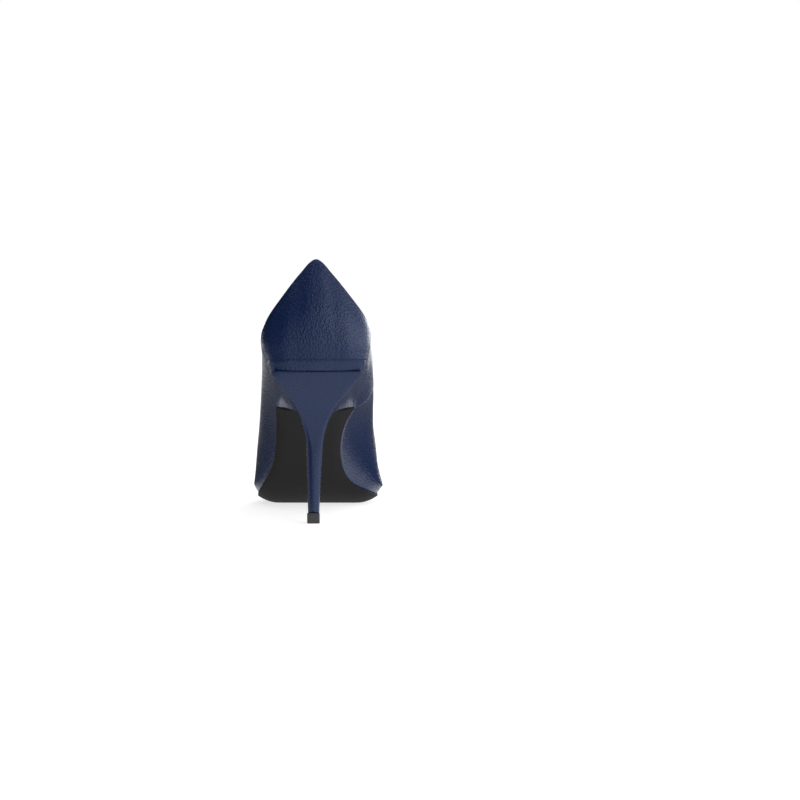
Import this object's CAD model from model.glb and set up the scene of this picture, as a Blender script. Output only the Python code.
"""Navy leather court shoe, left foot, on a pale studio floor.

The row frame: origin under the heel's top piece, +Y to the toe, +X to the inner side, +Z up.
Shapes are worked out in millimetres and written to meshes in metres.
"""

import bmesh
import bpy
import numpy as np
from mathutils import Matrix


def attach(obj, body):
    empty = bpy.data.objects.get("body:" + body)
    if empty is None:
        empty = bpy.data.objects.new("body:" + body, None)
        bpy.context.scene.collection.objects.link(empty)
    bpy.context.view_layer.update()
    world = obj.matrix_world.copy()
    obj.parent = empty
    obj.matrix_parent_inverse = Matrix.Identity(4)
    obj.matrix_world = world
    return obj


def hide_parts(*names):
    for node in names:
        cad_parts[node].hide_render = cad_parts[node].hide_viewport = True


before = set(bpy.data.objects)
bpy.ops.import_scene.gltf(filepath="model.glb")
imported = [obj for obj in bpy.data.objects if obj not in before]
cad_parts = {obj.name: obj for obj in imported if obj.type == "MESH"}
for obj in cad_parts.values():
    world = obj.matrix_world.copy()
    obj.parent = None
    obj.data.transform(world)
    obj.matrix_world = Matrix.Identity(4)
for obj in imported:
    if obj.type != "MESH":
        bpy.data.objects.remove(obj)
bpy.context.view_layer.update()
scene = bpy.context.scene


# ---- camera -----------------------------------------------------------------------------------
# Straight behind the shoe from a metre and a half, just under the height of the back's peak and a
# little towards the inner side, as for the left shoe of a pair standing side by side.
eye = np.array([48.0, -1500.0, 140.0])
aim = np.array([48.0, 0.0, 69.0])
camera = bpy.data.objects.new("camera", bpy.data.cameras.new("camera"))
camera.data.lens = 120.8
camera.data.sensor_width = 36.0
camera.data.clip_start = 0.05
camera.location = eye / 1000
camera.rotation_euler = (np.arctan2(aim[1] - eye[1], eye[2] - aim[2]), 0.0, 0.0)
scene.collection.objects.link(camera)
scene.camera = camera


# ---- upper: outer leather ---------------------------------------------------------------------
# One wrap of nappa over the last, closed by a slanted seam on the inner side. Its back is pressed
# square over a moulded counter, its bottom edge is chamfered where it is lasted under, and its top
# edge is skived, folded and cemented.
FLOOR_LINE = np.array([  # underside of the upper from the side: y, z, slope
    (-34.0, 91.0, -0.45),
    (28.0, 62.5, -0.53),
    (75.0, 32.0, -0.70),
    (112.0, 9.2, -0.45),
    (134.0, 3.5, 0.0),
    (165.0, 3.5, 0.0),
    (232.0, 11.0, 0.19),
])


def hermite(knots, x):
    """Cubic through (x, value, slope) rows, read at x.

    Between two rows, Hermite's cubic weighs their values and their slopes.
    """
    i = np.clip(np.searchsorted(knots[:, 0], x) - 1, 0, len(knots) - 2)
    a, b = knots[i], knots[i + 1]
    h = b[..., 0] - a[..., 0]
    t = (x - a[..., 0]) / h
    value = a[..., 1] * (2 * t**3 - 3 * t**2 + 1) + b[..., 1] * (3 * t**2 - 2 * t**3)
    return value + h * (a[..., 2] * (t**3 - 2 * t**2 + t) + b[..., 2] * (t**3 - t**2))


# Ribs from the lasted edge to the top edge, walked from the inner seam round the back, along the
# outer side, round the toe and back: foot x, y and rise over the floor line; chamfer x, y, z;
# widest x, y, z; shoulder x, y, z; top edge x, y, z.
RIBS = np.array([
    (21.9, 28.0, 0.0, 26.6, 34.0, 64.9, 32.5, 46.5, 74.2, 32.2, 54.5, 80.6, 30.3, 60.0, 84.5),
    (23.4, 14.0, 0.0, 26.3, 16.0, 72.6, 31.8, 22.0, 84.5, 32.4, 27.0, 91.5, 31.7, 30.0, 95.3),
    (25.2, 0.0, 0.0, 28.0, 1.0, 80.0, 31.2, 4.0, 91.0, 31.6, 7.0, 98.0, 31.1, 10.0, 101.4),
    (26.6, -12.0, 0.0, 28.9, -11.5, 86.4, 31.2, -9.0, 98.0, 31.7, -7.5, 104.0, 31.2, -5.5, 107.2),
    (27.2, -17.2, 0.0, 29.3, -18.0, 91.4, 31.5, -17.0, 100.5, 31.7, -15.5, 107.0, 30.9, -13.5, 111.2),
    (26.0, -21.0, 0.0, 28.3, -22.8, 91.9, 29.9, -22.2, 101.0, 29.4, -20.6, 109.5, 28.1, -17.6, 117.0),
    (20.0, -22.6, 0.0, 21.5, -25.2, 92.2, 22.0, -25.6, 102.0, 20.6, -24.0, 114.0, 18.7, -18.9, 129.5),
    (11.0, -23.2, 0.0, 11.5, -25.8, 92.4, 11.5, -26.6, 103.0, 10.7, -24.9, 118.0, 10.4, -17.7, 139.4),
    (6.4, -23.4, 0.0, 6.4, -26.0, 92.4, 6.4, -26.8, 103.0, 5.9, -25.1, 120.0, 5.5, -16.8, 145.0),
    (2.2, -23.5, 0.0, 2.0, -26.1, 92.4, 1.8, -26.9, 103.0, 1.7, -25.1, 120.5, 1.7, -16.3, 147.0),
    (-2.0, -23.4, 0.0, -2.4, -26.0, 92.4, -2.8, -26.8, 103.0, -2.5, -25.1, 120.0, -2.1, -16.8, 145.0),
    (-6.6, -23.2, 0.0, -7.5, -25.8, 92.4, -8.1, -26.6, 103.0, -7.3, -24.9, 118.0, -7.0, -17.7, 139.4),
    (-15.4, -22.6, 0.0, -17.3, -25.2, 92.2, -18.8, -25.6, 102.0, -17.2, -24.0, 114.0, -15.0, -18.9, 129.5),
    (-21.4, -21.0, 0.0, -23.6, -22.8, 91.9, -26.7, -22.2, 101.0, -26.0, -20.6, 109.5, -24.1, -17.6, 117.0),
    (-22.7, -17.2, 0.0, -25.2, -18.0, 91.4, -28.6, -17.0, 100.5, -28.4, -15.5, 107.0, -27.2, -13.5, 111.2),
    (-22.8, -9.0, 0.0, -25.3, -8.5, 85.2, -29.0, -7.0, 97.0, -29.2, -5.8, 103.0, -28.6, -4.0, 106.4),
    (-22.4, 4.0, 0.0, -25.2, 5.0, 79.0, -29.2, 8.0, 90.5, -29.7, 10.5, 96.5, -29.4, 14.0, 100.2),
    (-21.9, 20.0, 0.0, -24.6, 21.0, 71.0, -29.7, 24.0, 83.0, -30.5, 27.0, 90.5, -30.7, 30.0, 95.3),
    (-22.2, 38.0, 0.0, -25.0, 39.0, 61.2, -31.0, 42.0, 73.5, -31.6, 45.0, 82.0, -31.6, 48.0, 89.0),
    (-23.2, 58.0, 0.0, -26.2, 59.0, 48.5, -32.6, 61.5, 60.5, -33.0, 65.0, 71.5, -31.6, 68.0, 81.3),
    (-26.0, 80.0, 0.0, -29.2, 80.5, 33.0, -34.8, 82.0, 45.0, -34.2, 84.0, 58.5, -28.9, 87.0, 73.4),
    (-31.6, 98.0, 0.3, -34.0, 98.3, 21.0, -37.4, 99.0, 32.0, -34.8, 100.0, 48.0, -25.5, 103.0, 66.2),
    (-36.0, 113.0, 0.8, -38.1, 113.2, 12.4, -39.0, 113.6, 21.0, -35.2, 114.5, 39.0, -22.0, 116.5, 60.0),
    (-37.6, 129.0, 1.9, -39.4, 129.2, 8.8, -39.9, 129.6, 14.5, -34.0, 130.0, 33.5, -17.6, 128.0, 55.3),
    (-35.8, 146.0, 2.1, -37.6, 147.0, 8.2, -37.6, 147.0, 13.2, -29.6, 146.5, 31.0, -13.2, 138.0, 51.2),
    (-30.7, 162.0, 1.9, -32.5, 163.0, 7.9, -32.2, 163.5, 12.8, -23.6, 160.0, 31.0, -8.6, 143.8, 48.6),
    (-23.6, 179.0, 2.0, -24.7, 180.0, 8.4, -24.3, 180.5, 12.4, -16.6, 172.0, 29.8, -5.0, 146.5, 47.2),
    (-14.6, 197.0, 1.6, -15.5, 198.0, 9.4, -15.2, 198.5, 13.0, -9.6, 183.0, 29.2, -3.2, 147.3, 46.7),
    (-6.6, 212.5, 1.2, -7.3, 213.5, 10.8, -6.9, 213.5, 14.2, -3.8, 191.0, 28.8, -2.3, 147.6, 46.5),
    (-2.0, 220.0, 1.0, -2.4, 221.6, 11.7, -2.0, 221.0, 15.2, -1.0, 194.0, 28.5, -1.9, 147.7, 46.4),
    (2.3, 222.0, 1.0, 2.3, 223.2, 12.0, 2.3, 222.5, 15.4, 1.4, 195.0, 28.4, -1.7, 147.7, 46.4),
    (6.6, 220.0, 1.0, 7.0, 221.6, 11.7, 6.6, 221.0, 15.2, 3.8, 194.0, 28.5, -1.5, 147.7, 46.4),
    (11.0, 212.5, 1.2, 11.8, 213.5, 10.8, 11.4, 213.5, 14.2, 6.4, 191.0, 28.8, -1.1, 147.6, 46.5),
    (17.6, 197.0, 1.6, 18.6, 198.0, 9.4, 18.3, 198.5, 13.0, 11.4, 183.0, 29.2, -0.2, 147.3, 46.7),
    (24.6, 179.0, 2.0, 25.7, 180.0, 8.4, 25.4, 180.5, 12.4, 17.0, 172.0, 29.8, 1.6, 146.5, 47.2),
    (29.7, 162.0, 1.9, 31.4, 163.0, 7.9, 31.1, 163.5, 12.8, 22.2, 160.0, 31.0, 5.2, 143.8, 48.6),
    (32.7, 146.0, 2.1, 34.6, 147.0, 8.2, 35.6, 147.0, 13.0, 26.8, 146.5, 31.0, 9.8, 138.0, 51.2),
    (33.3, 129.0, 1.9, 35.5, 129.2, 8.6, 37.0, 129.6, 13.5, 30.2, 130.0, 33.5, 14.2, 128.0, 55.3),
    (29.2, 116.0, 0.8, 32.4, 116.2, 11.5, 35.4, 116.6, 19.0, 31.0, 116.5, 38.5, 18.3, 117.0, 59.8),
    (21.6, 105.0, 0.2, 26.8, 105.5, 17.0, 33.6, 106.0, 28.5, 31.8, 106.0, 45.0, 20.6, 106.0, 64.8),
    (16.0, 92.0, 0.0, 22.0, 93.0, 25.5, 31.6, 95.0, 39.5, 31.4, 96.5, 53.0, 23.6, 97.0, 69.0),
    (13.6, 76.0, 0.0, 19.8, 77.5, 37.0, 31.1, 81.0, 52.0, 31.6, 84.0, 64.0, 26.6, 86.0, 73.9),
    (14.2, 58.0, 0.0, 20.6, 60.5, 49.0, 31.6, 66.0, 63.0, 32.1, 71.0, 73.0, 29.0, 74.0, 78.9),
    (17.4, 42.0, 0.0, 23.4, 46.0, 58.2, 31.9, 55.0, 69.0, 32.2, 61.5, 77.3, 29.8, 66.5, 81.9),
])
foot = RIBS[:, :3].copy()
foot[:, 2] += hermite(FLOOR_LINE, foot[:, 1])
GUIDES = np.stack([foot] + [RIBS[:, k:k + 3] for k in (3, 6, 9, 12)], axis=1)


def tangents(points, along, closed):
    """Slope at each point of an uneven row: the mean of the two chords, the shorter counting more."""
    chord = np.diff(points, axis=0) / np.diff(along)[:, None, None]
    step = np.diff(along)[:, None, None]
    inner = (chord[:-1] * step[1:] + chord[1:] * step[:-1]) / (step[1:] + step[:-1])
    if closed:
        ends = (chord[-1] * step[0] + chord[0] * step[-1]) / (step[0] + step[-1])
        return np.concatenate([ends[None], inner, ends[None]])
    return np.concatenate([chord[:1], inner, chord[-1:]])


def blend(points, slopes, along, at):
    """Cubic Hermite curve through a row of points, read at many places."""
    i = np.clip(np.searchsorted(along, at, side="right") - 1, 0, len(along) - 2)
    h = (along[i + 1] - along[i])[:, None, None]
    t = ((at - along[i]) / (along[i + 1] - along[i]))[:, None, None]
    value = points[i] * (2 * t**3 - 3 * t**2 + 1) + points[i + 1] * (3 * t**2 - 2 * t**3)
    return value + h * (slopes[i] * (t**3 - 2 * t**2 + t) + slopes[i + 1] * (t**3 - t**2))


ring = np.concatenate([GUIDES, GUIDES[:1]])
walk = np.linalg.norm(np.diff(ring[:, 1:3].mean(axis=1), axis=0), axis=1) ** 0.75
walk = np.concatenate([[0], np.cumsum(walk)])
walk /= walk[-1]
ring_slopes = tangents(ring, walk, True)


GUIDE_AT = np.array([0.0, 0.1, 0.4, 0.66, 1.0])  # where a rib's five guide points stand along it
STEEPEST = 2.2  # most that a slope may be of the slower chord beside it
BACK_START, BACK_BLEND = 14.0, 5.0  # how far back the crease starts, and what it takes to come in
CREASE_ROUND = 0.012  # half of the stretch of rib that is averaged at the crease
TINY = 1e-9


def upper_surface(u, v):
    """Leather's outside at ring place u and rib place v, both 0 to 1.

    The five guide points of a rib are read off closed curves through RIBS. Across a rib, a straight
    chamfer runs up to the second guide, and above it a cubic runs through the others. A guide's
    slope is held to STEEPEST times the slower of its two chords, so that the cubic doesn't overshoot
    where a short chord meets a long one. At the back the cubic starts upright, so that the chamfer
    ends in a crease, which a mean of five near places rounds off.
    """
    guide = blend(ring, ring_slopes, walk, u)
    slope = np.moveaxis(tangents(np.moveaxis(guide, 1, 0), GUIDE_AT, False), 0, 1)
    pace = np.linalg.norm(np.diff(guide, axis=1), axis=2) / np.diff(GUIDE_AT)
    slowest = np.minimum(np.concatenate([pace[:, :1], pace], axis=1),
                         np.concatenate([pace, pace[:, -1:]], axis=1))
    size = np.maximum(np.linalg.norm(slope, axis=2), TINY)
    slope = slope * np.minimum(1, STEEPEST * slowest / size)[:, :, None]
    back = np.clip((-guide[:, 1, 1] - BACK_START) / BACK_BLEND, 0, 1)[:, None]
    chamfer = (guide[:, 1] - guide[:, 0]) / (GUIDE_AT[1] - GUIDE_AT[0])
    wall = (guide[:, 2] - guide[:, 1]) / (GUIDE_AT[2] - GUIDE_AT[1])
    upright = wall * np.array([0.5, 0.5, 1.0])
    slope_in, slope_out = slope.copy(), slope.copy()
    slope_in[:, 1] = back * chamfer + (1 - back) * slope[:, 1]
    slope_out[:, 1] = back * upright + (1 - back) * slope[:, 1]
    near_crease = (v > 0.02) * (v < 0.3)
    shifts = (-1.0, -0.5, 0.0, 0.5, 1.0)
    total = 0
    for shift in shifts:
        w = np.clip(v + shift * CREASE_ROUND * near_crease, 0, 1)
        i = np.clip(np.searchsorted(GUIDE_AT, w, side="right") - 1, 0, len(GUIDE_AT) - 2)
        h = (GUIDE_AT[i + 1] - GUIDE_AT[i])[None, :, None]
        t = (w - GUIDE_AT[i])[None, :, None] / h
        value = guide[:, i] * (2 * t**3 - 3 * t**2 + 1) + guide[:, i + 1] * (3 * t**2 - 2 * t**3)
        value = value + h * (slope_out[:, i] * (t**3 - 2 * t**2 + t) + slope_in[:, i + 1] * (t**3 - t**2))
        total = total + value / len(shifts)
    return total


def outward(grid):
    """Unit normals of a (ring, rib) grid that closes on itself: across its two directions of travel."""
    wide = np.concatenate([grid[-2:-1], grid, grid[1:2]])
    n = np.cross(np.gradient(grid, axis=1), np.gradient(wide, axis=0)[1:-1])
    return n / np.maximum(np.linalg.norm(n, axis=2, keepdims=True), TINY)


def make_mesh(name, grid, material, loop=False, cap=False):
    """Writes a (ring, rib) grid of millimetre points as quads, and turns its faces outward.

    The ring closes on itself, and the ribs either close on themselves too or end in two caps. Faces
    are turned round when the volume that they enclose comes out negative.
    """
    rings, ribs = grid.shape[:2]
    a = np.arange(rings * ribs).reshape(rings, ribs)
    a = np.concatenate([a, a[:1]])
    a = np.concatenate([a, a[:, :1]], axis=1) if loop else a
    quads = np.stack([a[:-1, :-1], a[1:, :-1], a[1:, 1:], a[:-1, 1:]], axis=-1).reshape(-1, 4)
    faces = quads.tolist()
    if cap:
        faces += [a[:rings, 0][::-1].tolist(), a[:rings, -1].tolist()]
    mesh = bpy.data.meshes.new(name)
    mesh.from_pydata((grid.reshape(-1, 3) / 1000).tolist(), [], faces)
    mesh.polygons.foreach_set("use_smooth", np.ones(len(mesh.polygons), bool))
    mesh.materials.append(material)
    mesh.validate()
    shape = bmesh.new()
    shape.from_mesh(mesh)
    if shape.calc_volume(signed=True) < 0:
        bmesh.ops.reverse_faces(shape, faces=shape.faces)
    shape.to_mesh(mesh)
    shape.free()
    piece = bpy.data.objects.new(name, mesh)
    scene.collection.objects.link(piece)
    return piece


def linear(colour):
    """An sRGB hex colour as linear red, green, blue and alpha."""
    c = np.array([int(colour[i:i + 2], 16) / 255 for i in (1, 3, 5)])
    c = np.where(c <= 0.04045, c / 12.92, ((c + 0.055) / 1.055) ** 2.4)
    return (*c.tolist(), 1.0)


def add(tree, kind, inputs=None, **settings):
    """Adds one node, sets its properties, and fills its sockets with values or links."""
    node = tree.nodes.new(kind)
    for key, value in settings.items():
        setattr(node, key, value)
    for key, value in (inputs or {}).items():
        if isinstance(value, bpy.types.NodeSocket):
            tree.links.new(value, node.inputs[key])
        else:
            node.inputs[key].default_value = value
    return node


def new_material(name):
    """A new material, with its tree, its Principled shader and its Object coordinates."""
    material = bpy.data.materials.new(name)
    material.use_nodes = True
    tree = material.node_tree
    shader = tree.nodes["Principled BSDF"]
    place = tree.nodes.new("ShaderNodeTexCoord").outputs["Object"]
    return material, tree, shader, place


# Nappa: chrome-tanned sheepskin with a thin satin pigment finish. Its pores and fine pebble are
# under a millimetre and break the reflection of the lights into soft grains.
nappa, tree, shader, place = new_material("navy_nappa_leather")
pebble = add(tree, "ShaderNodeTexVoronoi", {"Vector": place, "Scale": 1 / 0.0011, "Randomness": 1.0},
             feature="SMOOTH_F1")
pores = add(tree, "ShaderNodeTexNoise", {"Vector": place, "Scale": 1 / 0.0007, "Detail": 3.0})
cloud = add(tree, "ShaderNodeTexNoise", {"Vector": place, "Scale": 1 / 0.030, "Detail": 2.0})
relief = add(tree, "ShaderNodeMath", {0: pebble.outputs["Distance"], 1: 0.8}, operation="MULTIPLY")
relief = add(tree, "ShaderNodeMath", {0: pores.outputs["Fac"], 1: relief.outputs[0]}, operation="ADD")
bump = add(tree, "ShaderNodeBump", {"Height": relief.outputs[0], "Strength": 0.8, "Distance": 0.0003})
tone = add(tree, "ShaderNodeMix",
           {"Factor": cloud.outputs["Fac"], 6: linear("#09193a"), 7: linear("#0b1d41")},
           data_type="RGBA")
gloss = add(tree, "ShaderNodeMapRange", {"Value": pores.outputs["Fac"], "To Min": 0.20, "To Max": 0.34})
# The joint attribute darkens and dulls the seam's groove and, less, the crease at the back.
joint = add(tree, "ShaderNodeAttribute", attribute_name="joint")
shade = add(tree, "ShaderNodeMix",
            {"Factor": joint.outputs["Fac"], 6: tone.outputs[2], 7: linear("#03060f")},
            data_type="RGBA")
sheen = add(tree, "ShaderNodeMapRange", {"Value": joint.outputs["Fac"], "To Min": 0.5, "To Max": 0.0})
tree.links.new(shade.outputs[2], shader.inputs["Base Color"])
tree.links.new(sheen.outputs["Result"], shader.inputs["Specular IOR Level"])
tree.links.new(gloss.outputs["Result"], shader.inputs["Roughness"])
tree.links.new(bump.outputs["Normal"], shader.inputs["Normal"])
shader.inputs["IOR"].default_value = 1.48
shader.inputs["Specular Tint"].default_value = (0.74, 0.83, 1.0, 1)

RING_LENGTH = 620.0  # round the shoe, for turning distances from the seam into ring places
THICKNESS = 1.9  # leather with the reinforcements behind it
SEAM_WIDTH, SEAM_DEPTH = 0.45, 1.0
CREASE_AT, CREASE_WIDTH, CREASE_DEPTH = 0.106, 0.016, 0.2
near = np.array([0.15, 0.3, 0.45, 0.6, 0.8, 1.05, 1.4, 1.9, 2.6, 3.6]) / RING_LENGTH
u_at = np.concatenate([[0.0], near, np.linspace(0.0075, 0.9925, 500), 1 - near[::-1], [1.0]])
v_at = np.concatenate([np.linspace(0, 0.055, 4), np.linspace(0.07, 0.13, 9),
                       np.linspace(0.15, 0.97, 44), [0.985, 1.0]])
outside = upper_surface(u_at, v_at)
normal = outward(outside)
seam = np.exp(-((np.minimum(u_at, 1 - u_at) * RING_LENGTH / SEAM_WIDTH) ** 2))[:, None]
CREASE_ROW, CREASE_FADE = 6, 6.0  # the row of points by the crease, and what its line takes to come in
pressed = np.clip((-outside[:, CREASE_ROW, 1] - BACK_START) / CREASE_FADE, 0, 1)[:, None]
crease = pressed * np.exp(-(((v_at - CREASE_AT) / CREASE_WIDTH) ** 2))[None]
outside = outside - normal * (SEAM_DEPTH * seam + CREASE_DEPTH * crease)[:, :, None]
# The top edge is folded over in a half round as wide as the leather is thick.
turn = np.linspace(0, np.pi, 9)[1:-1][None, :, None]
rim, rim_normal = outside[:, -1:], normal[:, -1:]
rim_rise = rim - outside[:, -4:-3]
rim_rise /= np.linalg.norm(rim_rise, axis=2, keepdims=True)
fold = rim - rim_normal * THICKNESS / 2 * (1 - np.cos(turn)) + rim_rise * THICKNESS / 2 * np.sin(turn)
inside = (outside - normal * THICKNESS)[:, ::-2]
walk_way = np.gradient(outside[:, 0, :2], axis=0)
walk_way /= np.linalg.norm(walk_way, axis=1, keepdims=True)
inward = np.stack([walk_way[:, 1], -walk_way[:, 0], 0 * u_at], axis=1)


def under(reach, lift):
    """One row of the lasted margin, turned in under the foot by a reach and raised by a lift.

    The row keeps the lasted edge's height over FLOOR_LINE, taken again where the row now stands.
    """
    p = outside[:, 0] + inward * reach
    level = hermite(FLOOR_LINE, p[:, 1]) - hermite(FLOOR_LINE, outside[:, 0, 1])
    p[:, 2] += level + lift
    return p[:, None]


MARGIN = ((3.2, 1.3), (6.0, 1.1), (6.2, 0.6), (6.0, 0.1), (2.6, 0.1), (0.6, 0.05))  # reach, lift
margin = [under(reach, lift) for reach, lift in MARGIN]
skin = np.concatenate([outside, fold, inside] + margin, axis=1)[:-1]
leather = make_mesh("upper", skin, nappa, loop=True)
CREASE_DARK = 0.3  # how dark the crease is beside the seam
grooves = np.zeros(skin.shape[:2])
grooves[:, :len(v_at)] = np.maximum(seam, CREASE_DARK * crease)[:-1]
leather.data.attributes.new("joint", "FLOAT", "POINT").data.foreach_set("value", grooves.ravel())
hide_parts("upper_leather", "heel_counter", "toe_puff", "backing_lateral", "backing_medial",
            "topline_tape")
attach(leather, "root")


# ---- lining -----------------------------------------------------------------------------------
# Dark kidskin cemented inside the leather and trimmed just under its folded top edge. Its vamp and
# quarter pieces overlap along a low ridge on each side.
def grained(name, colour, rough, grain, strength, deep=0.0001, detail=4.0, specular=0.5):
    """A new material of one colour and roughness, with a fine noise of grains as its relief."""
    material, tree, shader, place = new_material(name)
    noise = add(tree, "ShaderNodeTexNoise", {"Vector": place, "Scale": 1 / grain, "Detail": detail})
    bump = add(tree, "ShaderNodeBump",
               {"Height": noise.outputs["Fac"], "Strength": strength, "Distance": deep})
    tree.links.new(bump.outputs["Normal"], shader.inputs["Normal"])
    shader.inputs["Base Color"].default_value = linear(colour)
    shader.inputs["Roughness"].default_value = rough
    shader.inputs["Specular IOR Level"].default_value = specular
    return material


kid = grained("dark_kid_lining", "#1f1e22", 0.6, 0.0009, 0.25)
LINING_BACK, LINING_FACE = 2.0, 2.65  # depths below the leather's outside
LAP_HEIGHT, LAP_Y, LAP_LEAN, LAP_EDGE = 0.35, 62.0, 0.25, 0.25
lap_v = np.concatenate([np.linspace(0.02, 0.96, 34), [0.975, 0.985]])
backed = upper_surface(u_at[::2], lap_v)
backed_normal = outward(backed)
ahead_of_lap = backed[:, :, 1] - LAP_Y + LAP_LEAN * backed[:, :, 2]
lap = LAP_HEIGHT / (1 + np.exp(ahead_of_lap / LAP_EDGE))[:, :, None]
lining_face = backed - backed_normal * (LINING_FACE + lap)
lining_back = backed - backed_normal * LINING_BACK
lining = make_mesh("lining", np.concatenate([lining_back, lining_face[:, ::-1]], axis=1)[:-1], kid,
                   loop=True)
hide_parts("vamp_lining", "quarter_lining")
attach(lining, "root")


# ---- outsole ----------------------------------------------------------------------------------
# Matt black sheet, cut close to the lasted edge and cemented to the roughened margin. It is
# rounded up at its sides, thins towards its edge and ends under the breast of the heel.
fine_u = np.linspace(0, 1, 1201)[:-1]
fine_v = np.linspace(0, 0.55, 90)
fine = upper_surface(fine_u, fine_v)
fine_normal = outward(fine)


def outline(y, outer, lift, inset):
    """Outline x, and the lasted edge's rise, at y on one side: the surface at a lift, less an inset.

    The lift is measured from the lasted edge, and the inset along the leather's normal. The edge's
    rise is its height over FLOOR_LINE.
    """
    edge_rise = fine[:, 0, 2] - hermite(FLOOR_LINE, fine[:, 0, 1])
    over = fine[:, :, 2] - hermite(FLOOR_LINE, fine[:, :, 1]) - edge_rise[:, None] - lift
    k = np.clip(np.argmax(over > 0, axis=1), 1, None) if lift > 0 else np.ones(len(fine), int)
    here = np.arange(len(fine))
    t = np.clip(-over[here, k - 1] / (over[here, k] - over[here, k - 1]), 0, 1)[:, None]
    line = fine[here, k - 1] * (1 - t) + fine[here, k] * t
    line = line - inset * fine_normal[here, k]
    back, toe = np.argmin(line[:, 1]), np.argmax(line[:, 1])
    order = np.arange(back, toe + 1) if outer else np.arange(toe, back + len(fine) + 1)[::-1] % len(fine)
    order = order[np.concatenate([[True], np.diff(np.maximum.accumulate(line[order, 1])) > 0])]
    return np.interp(y, line[order, 1], line[order, 0]), np.interp(y, line[order, 1], edge_rise[order])


TREAD_LINE = np.array([  # the outsole's walking face from the side: y, z, slope
    (24.0, 62.6, -0.52),
    (75.0, 29.316, -0.70),
    (112.0, 5.8, -0.45),
    (134.0, 0.0, 0.0),
    (165.0, 0.0, 0.0),
    (232.0, 8.4, 0.20),
])


def slab(y, left, right, top, bottom, wide=25):
    """A foot-shaped sheet between two heights, in closed loops across the foot from back to toe.

    left and right are outlines at y. top and bottom give z from y, the rise of the lasted edge, and
    the place across the foot from -1 to 1.
    """
    middle, half = (left[0] + right[0]) / 2, np.maximum(right[0] - left[0], 0.02) / 2
    s = np.sin(np.linspace(-np.pi / 2, np.pi / 2, wide))[:, None]
    x = middle + s * half
    rise = np.where(s < 0, left[1], right[1]) + 0 * x
    across = np.concatenate([x, x[::-1]])
    height = np.concatenate([bottom(y, rise, s), top(y, rise, s)[::-1]])
    return np.stack([across, np.broadcast_to(y, across.shape), height], axis=2)


def bend(s, start):
    """0 across the middle of the foot, then the square of the way from start to the edge, up to 1."""
    return np.clip((np.abs(s) - start) / (1 - start), 0, 1) ** 2


matt = grained("black_outsole_sheet", "#131315", 0.7, 0.0008, 0.3, specular=0.15)
BREAST_Y, SOLE_TOE_Y = 25.7, 222.0
SOLE_GLUE = 0.1  # the sheet's top lies this far under the floor line
SOLE_EDGE = 2.3  # how much further the walking face rises at its edge
SOLE_WIDER = 0.7  # past the lasted edge: at the tread on both sides, and along the outer waist
WAIST_IN = 0.4  # short of the lasted edge: along the inner waist
TREAD_Y, TREAD_FADE, TOE_FADE = 96.0, 16.0, 8.0
OUTER_WIDER_END, WAIST_END = 200.0, 104.0
sole_y = BREAST_Y + (SOLE_TOE_Y - BREAST_Y) * (1 - np.cos(np.linspace(0, np.pi / 2, 160)) ** 1.4)
(outer_x, outer_rise), (inner_x, inner_rise) = outline(sole_y, True, 0, 0), outline(sole_y, False, 0, 0)
at_tread = np.clip((sole_y - TREAD_Y) / TREAD_FADE, 0, 1)
spread = SOLE_WIDER * at_tread * np.clip((SOLE_TOE_Y - sole_y) / TOE_FADE, 0, 1)
outer_x = outer_x - np.maximum(spread, SOLE_WIDER * (sole_y < OUTER_WIDER_END))
inner_x = inner_x + spread - WAIST_IN * (sole_y < WAIST_END)
sole_grid = slab(sole_y, (outer_x, outer_rise), (inner_x, inner_rise),
                 lambda y, rise, s: hermite(FLOOR_LINE, y) + rise * bend(s, 0.7) - SOLE_GLUE,
                 lambda y, rise, s: hermite(TREAD_LINE, y) + (rise + SOLE_EDGE) * bend(s, 0.66))
sole = make_mesh("outsole_sheet", sole_grid, matt, cap=True)
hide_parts("outsole")
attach(sole, "root")


# ---- sock -------------------------------------------------------------------------------------
# Kidskin over a thin layer of foam, cemented over the whole insole and pressed up a little at its
# edge against the lining.
sock_kid = grained("dark_kid_sock", "#232227", 0.55, 0.0012, 0.2)
SOCK_TOP, SOCK_BOTTOM, SOCK_EDGE, SOCK_INSET = 8.0, 6.9, 0.9, 2.75
SOCK_HEEL_Y, SOCK_LENGTH = -20.6, 236.5


def last_bottom(y, rise, s):
    """Height of the last's bottom: the floor line, bent up to the lasted edge at both sides."""
    return hermite(FLOOR_LINE, y) + rise * bend(s, 0.6)


sock_y = SOCK_HEEL_Y + SOCK_LENGTH * (1 - np.cos(np.linspace(0, np.pi, 170))) / 2
sock_sides = [outline(sock_y, outer, SOCK_TOP, SOCK_INSET) for outer in (True, False)]
sock_grid = slab(sock_y, *sock_sides,
                 lambda y, rise, s: last_bottom(y, rise, s) + SOCK_TOP + SOCK_EDGE * np.abs(s) ** 5,
                 lambda y, rise, s: last_bottom(y, rise, s) + SOCK_BOTTOM + SOCK_EDGE * np.abs(s) ** 5)
sock = make_mesh("sock", sock_grid, sock_kid, cap=True)
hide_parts("sock_lining")
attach(sock, "root")


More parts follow.
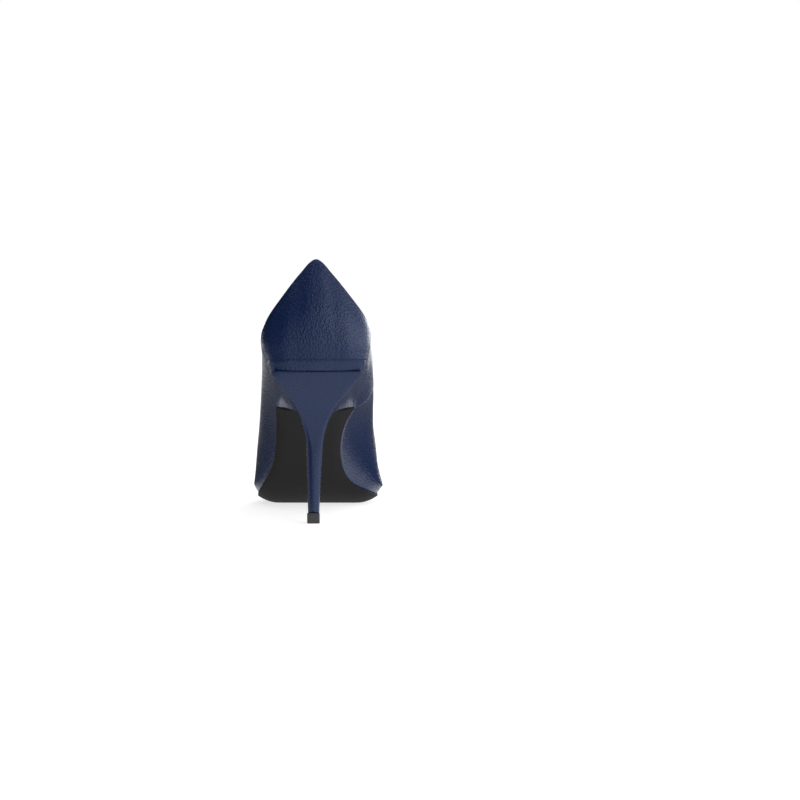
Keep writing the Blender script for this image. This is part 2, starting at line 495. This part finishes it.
# ---- foam and insole board --------------------------------------------------------------------
# Under the sock, thin latex foam on the pressed cellulose board that the upper is lasted to. Both
# follow the last's bottom, wall to wall.
foam_latex = grained("latex_foam", "#d8d2c4", 0.9, 0.0005, 0.4, deep=0.0002, detail=2.0)
cellulose, tree, shader, place = new_material("cellulose_board")
fibre = add(tree, "ShaderNodeTexNoise", {"Vector": place, "Scale": 1 / 0.002, "Detail": 4.0})
tone = add(tree, "ShaderNodeMix",
           {"Factor": fibre.outputs["Fac"], 6: linear("#7f6345"), 7: linear("#9a7b59")},
           data_type="RGBA")
tree.links.new(tone.outputs[2], shader.inputs["Base Color"])
shader.inputs["Roughness"].default_value = 0.8
LAYER_TOE_Y, LAYER_INSET = 216.5, 3.3
LAYER_DROP = 1.0  # the outline is read this far under the layer's middle
layers = {}
for name, node, stuff, under_side, upper_side, heel_y in (
    ("foam", "footbed_foam", foam_latex, 5.2, 6.8, -20.3),
    ("insole", "insole_board", cellulose, 2.9, 5.1, -19.8),
):
    layer_y = heel_y + (LAYER_TOE_Y - heel_y) * (1 - np.cos(np.linspace(0, np.pi, 120))) / 2
    read_at = (under_side + upper_side) / 2 - LAYER_DROP
    sides = [outline(layer_y, outer, read_at, LAYER_INSET) for outer in (True, False)]
    layer_grid = slab(layer_y, *sides,
                      lambda y, rise, s: last_bottom(y, rise, s) + upper_side,
                      lambda y, rise, s: last_bottom(y, rise, s) + under_side)
    layers[name] = make_mesh(name, layer_grid, stuff, cap=True)
    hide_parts(node)
    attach(layers[name], "root")


# ---- heel -------------------------------------------------------------------------------------
# A moulded stiletto covered in smooth nappa, drawn tight over its two back ridges and its hollow
# sides. Its seat follows the upper, with a small rounded edge that leaves a dark joint line.
HEEL = np.array([  # back y, z, width and middle x; front y, z, width and middle x
    (-4.0, 3.0, 6.8, -0.4, 4.2, 3.0, 5.6, -0.4),
    (-4.4, 22.0, 7.7, -0.2, 4.6, 22.0, 6.8, -0.2),
    (-5.2, 38.0, 8.8, 0.1, 5.4, 37.4, 8.6, 0.0),
    (-6.2, 48.5, 10.2, 0.4, 7.0, 47.0, 10.2, 0.0),
    (-8.0, 56.5, 13.4, 0.5, 9.5, 53.2, 13.4, 0.0),
    (-10.5, 63.0, 18.6, 0.8, 13.0, 58.4, 17.6, 0.0),
    (-14.0, 69.3, 26.3, 1.4, 17.8, 61.6, 23.0, 0.1),
    (-18.2, 76.0, 36.4, 1.8, 22.4, 63.4, 33.6, 0.2),
    (-22.6, 83.6, 48.2, 2.3, 24.6, 64.1, 43.4, 0.2),
    (-25.4, 92.5, 54.0, 2.3, 26.6, 68.5, 46.6, 0.2),
])


def corners(rows):
    """Back left, back right, front right and front left corners of the heel's rows."""
    back, front = rows.T[:4], rows.T[4:]
    sides = ((-1, back), (1, back), (1, front), (-1, front))
    return np.stack([np.stack([middle + side * width / 2, y, z], axis=1)
                     for side, (y, z, width, middle) in sides], axis=1)


def rounded(quad, radii, hollow, steps=(14, 18, 14, 18), turns=6):
    """Closed outline of each quad: straight edges between corners that are quadratic curves.

    The two side edges are hollowed by a sine as deep as hollow times the edge's length. steps are
    the points on each edge and turns are those on a corner.
    """
    out = []
    for k in range(4):
        here, after, before = quad[:, k], quad[:, (k + 1) % 4], quad[:, k - 1]
        to_after = (after - here) / np.linalg.norm(after - here, axis=1, keepdims=True)
        to_before = (before - here) / np.linalg.norm(before - here, axis=1, keepdims=True)
        t = np.linspace(0, 1, turns)[None, :, None]
        a, b = here + to_before * radii[k], here + to_after * radii[k]
        out.append((1 - t) ** 2 * a[:, None] + 2 * t * (1 - t) * here[:, None] + t**2 * b[:, None])
        end = after - to_after * radii[(k + 1) % 4]
        t = np.linspace(0, 1, steps[k] + 2)[1:-1][None, :, None]
        line = b[:, None] * (1 - t) + end[:, None] * t
        if k % 2:
            depth = np.linalg.norm(end - b, axis=1)[:, None, None]
            line = line - np.array([2.0 - k, 0, 0]) * hollow * depth * np.sin(np.pi * t)
        out.append(line)
    return np.concatenate(out, axis=1)


BACK_RADIUS, FRONT_RADIUS = 0.9, 0.6  # of the corners at the seat
BACK_STEM_RADIUS, FRONT_STEM_RADIUS = 2.6, 1.4  # what the stem's corners add to that
SIDE_HOLLOW = 0.04
HEEL_END = 6.05  # just above the top piece
JOINT_GAP, SEAT_RADIUS = 0.3, 1.1
STEM_TOP, STEM_FADE = 66.0, 26.0  # the corners grow round from here down
HOLLOW_TOP, HOLLOW_FADE = 80.0, 15.0
heel_rows = corners(HEEL)
row_steps = np.linalg.norm(np.diff(heel_rows.mean(axis=1), axis=0), axis=1)
along = np.concatenate([[0], np.cumsum(row_steps)])
quads = blend(heel_rows, tangents(heel_rows, along, False), along, np.linspace(0, along[-1], 420))
back_z = quads[:, 0, 2:3]
blunt = np.clip((STEM_TOP - back_z) / STEM_FADE, 0, 1) ** 1.5
back_radius = BACK_RADIUS + BACK_STEM_RADIUS * blunt
front_radius = FRONT_RADIUS + FRONT_STEM_RADIUS * blunt
loft = rounded(quads, (back_radius, back_radius, front_radius, front_radius),
               SIDE_HOLLOW * np.clip((HOLLOW_TOP - back_z) / HOLLOW_FADE, 0, 1)[:, :, None])
loft = loft[int(np.argmax(loft[:, :, 2].min(axis=1) > HEEL_END)):]


def below_seat(points):
    """How far points are below the heel's seat, which is the floor line less the joint's gap."""
    return hermite(FLOOR_LINE, points[:, :, 1]) - JOINT_GAP - points[:, :, 2]


# Each line up the heel is cut where it meets the seat, and walked again up to there.
depth = below_seat(loft)
last = np.argmax(depth < 0, axis=0)
column = np.arange(loft.shape[1])
share = depth[last - 1, column] / (depth[last - 1, column] - depth[last, column])
reach = (last - 1 + share)[None] * (1 - (1 - np.linspace(0, 1, 190)) ** 1.15)[:, None]
whole = np.minimum(reach.astype(int), len(loft) - 2)
beyond_whole = (reach - whole)[:, :, None]
shell = loft[whole, column] + (loft[whole + 1, column] - loft[whole, column]) * beyond_whole
# The seat's edge is a quarter round, set in at each depth by Pythagoras.
left_of_radius = SEAT_RADIUS - np.clip(below_seat(shell), 0, SEAT_RADIUS)
inset = SEAT_RADIUS - np.sqrt(np.maximum(SEAT_RADIUS**2 - left_of_radius**2, 0))
away = shell - shell.mean(axis=1, keepdims=True)
away[:, :, 2] = 0
shell = shell - away / np.linalg.norm(away, axis=2, keepdims=True) * inset[:, :, None]
heel_nappa = nappa.copy()
heel_nappa.name = "smooth_navy_nappa"
heel_nappa.node_tree.nodes["Bump"].inputs["Strength"].default_value = 0.12
heel = make_mesh("heel", np.swapaxes(shell, 0, 1), heel_nappa, cap=True)
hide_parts("heel_cover", "heel_core")
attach(heel, "root")


# ---- top piece --------------------------------------------------------------------------------
# A moulded polyurethane lift, a little wider than the end of the heel, driven on by its pin.
tread_pu = grained("dark_polyurethane_lift", "#2c2a2d", 0.5, 0.0005, 0.4, deep=0.0002, detail=3.0)
LIFT_BACK_Y, LIFT_FRONT_Y, LIFT_X = -4.4, 4.6, -0.4
LIFT_BACK_WIDTH, LIFT_FRONT_WIDTH = 7.2, 6.0
LIFT_BACK_RADIUS, LIFT_FRONT_RADIUS = 0.8, 1.2
LEVELS = np.array([  # height, and how far the worn edges stand in
    (0.0, 0.35),
    (0.12, 0.12),
    (0.35, 0.0),
    (2.0, 0.0),
    (4.0, 0.0),
    (5.55, 0.0),
    (5.8, 0.1),
    (5.92, 0.35),
])
block = corners(np.array([
    (LIFT_BACK_Y + edge, z, LIFT_BACK_WIDTH - 2 * edge, LIFT_X,
     LIFT_FRONT_Y - edge, z, LIFT_FRONT_WIDTH - 2 * edge, LIFT_X)
    for z, edge in LEVELS
]))
lift_grid = rounded(block, (LIFT_BACK_RADIUS,) * 2 + (LIFT_FRONT_RADIUS,) * 2, 0.0)
top_piece = make_mesh("top_piece_lift", np.swapaxes(lift_grid, 0, 1), tread_pu, cap=True)
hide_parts("top_piece")
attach(top_piece, "root")


# ---- inner pieces -----------------------------------------------------------------------------
# The stiff board, the shank and its rivets, the cork filler, and the heel's tube, screw, nails and
# pin. They are shut inside the shoe and keep the row's own shapes, in materials of their own.
ROUGH_SPREAD = 0.06
for name, colour, rough, metal, spot in (
    ("tuck_board", "#5d4632", 0.8, 0.0, 0.002),
    ("steel_shank", "#8b8d90", 0.35, 1.0, 0.004),
    ("shank_rivets", "#9a9b9d", 0.35, 1.0, 0.004),
    ("bottom_filler", "#9b7b52", 0.9, 0.0, 0.001),
    ("heel_tube", "#8b8d90", 0.3, 1.0, 0.004),
    ("heel_screw", "#9a9b9d", 0.3, 1.0, 0.004),
    ("heel_nails", "#9a9b9d", 0.4, 1.0, 0.004),
    ("top_piece_pin", "#8b8d90", 0.3, 1.0, 0.004),
):
    plain, tree, shader, place = new_material(name + "_finish")
    spots = add(tree, "ShaderNodeTexNoise", {"Vector": place, "Scale": 1 / spot, "Detail": 3.0})
    wear = add(tree, "ShaderNodeMapRange",
               {"Value": spots.outputs["Fac"], "To Min": rough - ROUGH_SPREAD,
                "To Max": rough + ROUGH_SPREAD})
    tree.links.new(wear.outputs["Result"], shader.inputs["Roughness"])
    shader.inputs["Base Color"].default_value = linear(colour)
    shader.inputs["Metallic"].default_value = metal
    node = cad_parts[name]
    node.data.materials.clear()
    node.data.materials.append(plain)


# ---- floor and lights -------------------------------------------------------------------------
# A light table, whose white floor gives off light, with soft lamps low on the inner side, overhead
# and beyond the toe. The lamps are in the world, which the camera itself sees plain white. Three
# dark grey cards on the floor are seen only in reflections.
WHITE = (1.0, 1.0, 1.0, 1.0)


def flat_sheet(name, corner_points, material):
    """A flat sheet between four corners, given in metres."""
    mesh = bpy.data.meshes.new(name)
    mesh.from_pydata(corner_points, [], [(0, 1, 2, 3)])
    mesh.materials.append(material)
    sheet = bpy.data.objects.new(name, mesh)
    scene.collection.objects.link(sheet)
    return sheet


table, _, shader, _ = new_material("white_light_table")
shader.inputs["Base Color"].default_value = (0.5, 0.5, 0.5, 1)
shader.inputs["Roughness"].default_value = 0.9
shader.inputs["Emission Color"].default_value = WHITE
shader.inputs["Emission Strength"].default_value = 0.72
floor = flat_sheet("floor", [(-6, -6, 0), (6, -6, 0), (6, 6, 0), (-6, 6, 0)], table)

dark_card, _, shader, _ = new_material("dark_grey_card")
shader.inputs["Base Color"].default_value = (0.05, 0.05, 0.05, 1)
shader.inputs["Emission Color"].default_value = WHITE
shader.inputs["Emission Strength"].default_value = 0.10
shader.inputs["Roughness"].default_value = 1.0
shader.inputs["Specular IOR Level"].default_value = 0.0
CARD_Z = 0.002
for name, near_x, far_x, start_y, end_y in (
    ("card_outer", -0.053, -0.32, 0.02, 1.6),
    ("card_inner", 0.043, 0.4, 0.06, 1.6),
    ("card_behind", -0.03, -0.9, -1.8, -0.06),
):
    card = flat_sheet(name, [(near_x, start_y, CARD_Z), (near_x, end_y, CARD_Z),
                             (far_x, end_y, CARD_Z), (far_x, start_y, CARD_Z)], dark_card)
    card.visible_camera = card.visible_diffuse = card.visible_shadow = False

world = bpy.data.worlds.new("studio")
world.use_nodes = True
scene.world = world
tree = world.node_tree
background = tree.nodes["Background"]
background.inputs["Color"].default_value = WHITE
direction = add(tree, "ShaderNodeTexCoord").outputs["Generated"]
parts = add(tree, "ShaderNodeSeparateXYZ", {"Vector": direction})


def ramp(axis, start, end, first, last):
    """A brightness that goes smoothly from first to last as the direction's part on an axis grows."""
    return add(tree, "ShaderNodeMapRange",
               {"Value": parts.outputs[axis], "From Min": start, "From Max": end,
                "To Min": first, "To Max": last}, interpolation_type="SMOOTHSTEP").outputs["Result"]


def times_plus(a, b, c):
    """The brightness a times b, plus c."""
    return add(tree, "ShaderNodeMath", {0: a, 1: b, 2: c}, operation="MULTIPLY_ADD").outputs[0]


FILL = 0.03  # what the rest of the room gives
side_lamp = times_plus(ramp("X", -0.01, 0.30, 0.0, 3.3), ramp("Z", 0.25, 0.62, 1.0, 0.15), FILL)
lamps = add(tree, "ShaderNodeMath", {0: side_lamp, 1: ramp("Z", 0.70, 0.92, 0.0, 1.3)},
            operation="ADD").outputs[0]
lamps = times_plus(ramp("Y", 0.5, 0.95, 0.0, 0.6), ramp("X", -0.05, 0.10, 0.0, 1.3), lamps)
seen = add(tree, "ShaderNodeLightPath").outputs["Is Camera Ray"]
level = add(tree, "ShaderNodeMix", {"Factor": seen, 2: lamps, 3: 1.0}, data_type="FLOAT")
tree.links.new(level.outputs[0], background.inputs["Strength"])
scene.view_settings.view_transform = "Standard"
